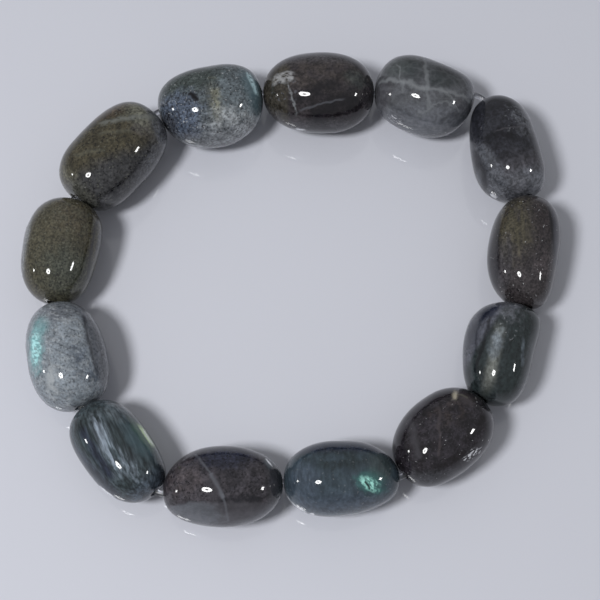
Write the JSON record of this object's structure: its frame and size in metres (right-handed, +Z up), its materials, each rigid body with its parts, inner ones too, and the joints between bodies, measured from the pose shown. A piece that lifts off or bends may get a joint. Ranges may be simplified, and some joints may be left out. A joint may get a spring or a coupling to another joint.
{
  "type": "labradorite bead bracelet",
  "caption": "Stretch bracelet of polished, tumbled labradorite barrel beads on hidden elastic, lying in a ring; worn round the wrist.",
  "frame": {"origin": "centre of the ring's bounding box in plan, on the surface that it lies on", "axes": "+Z up, square to the ring; +X along the ring's longer width; bead_03 lies towards +X and +Y"},
  "size_m": [0.0677, 0.0622, 0.01],
  "materials": {
    "bead_01_stone": "polished, speckled blue-grey",
    "bead_02_stone": "polished, charcoal with a white vein",
    "bead_03_stone": "polished, smoky grey with white veins",
    "bead_04_stone": "polished, dark smoky grey, partly clear",
    "bead_05_stone": "polished, dark olive-brown",
    "bead_06_stone": "polished, dark green-grey, streaked",
    "bead_07_stone": "polished, near-black purple-brown",
    "bead_08_stone": "polished, blue-green slate",
    "bead_09_stone": "polished, purple-grey with a clear end",
    "bead_10_stone": "polished, dark blue-green, streaked",
    "bead_11_stone": "polished, light blue-grey, mottled",
    "bead_12_stone": "polished, khaki, speckled",
    "bead_13_stone": "polished, olive and purple-grey",
    "clear_elastic": "clear and glossy"
  },
  "bodies": {
    "root": {"bead_01": "bead_01_stone", "bead_02": "bead_02_stone", "bead_03": "bead_03_stone", "bead_04": "bead_04_stone", "bead_05": "bead_05_stone", "bead_06": "bead_06_stone", "bead_07": "bead_07_stone", "bead_08": "bead_08_stone", "bead_09": "bead_09_stone", "bead_10": "bead_10_stone", "bead_11": "bead_11_stone", "bead_12": "bead_12_stone", "bead_13": "bead_13_stone", "elastic_cord": "clear_elastic"}
  },
  "joints": []
}
